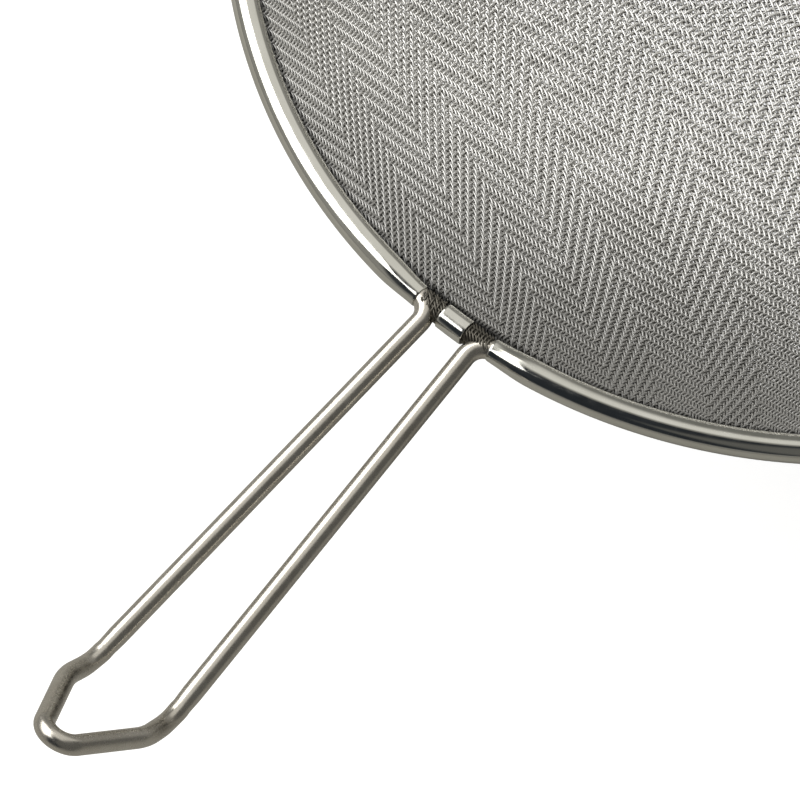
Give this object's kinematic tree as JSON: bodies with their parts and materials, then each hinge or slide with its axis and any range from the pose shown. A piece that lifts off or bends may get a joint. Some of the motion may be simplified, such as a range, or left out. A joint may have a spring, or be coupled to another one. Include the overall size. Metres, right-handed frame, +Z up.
{
  "type": "double sieve strainer",
  "caption": "Round two-tier honey strainer of woven stainless wire: a shallow handled upper sieve rests in a deeper lower sieve with side handles.",
  "frame": {"origin": "centre of the upper rim, in the plane of its wire", "axes": "+Z up out of the bowls; the upper handle points to -Y, and the lower handles point to -X and +X"},
  "size_m": [0.4618, 0.3535, 0.1029],
  "materials": {
    "frame_wire": "satin drawn wire",
    "rim_sheet": "polished rolled strip",
    "upper_mesh": "herringbone woven wire",
    "lower_mesh": "fine plain woven wire"
  },
  "bodies": {
    "lower_sieve": {"lower_left_wire": "frame_wire", "lower_right_wire": "frame_wire", "lower_front_channel": "rim_sheet", "lower_back_channel": "rim_sheet", "lower_left_clip": "rim_sheet", "lower_right_clip": "rim_sheet", "lower_mesh_bowl": "lower_mesh"},
    "upper_sieve": {"upper_frame_wire": "frame_wire", "upper_rim_channel": "rim_sheet", "upper_gap_clip": "rim_sheet", "upper_mesh_bowl": "upper_mesh"}
  },
  "joints": [
    {"name": "upper_sieve_lift", "type": "slide", "parent": "lower_sieve", "child": "upper_sieve", "axis": [0, 0, 1], "range_m": [0, 0.12]}
  ]
}
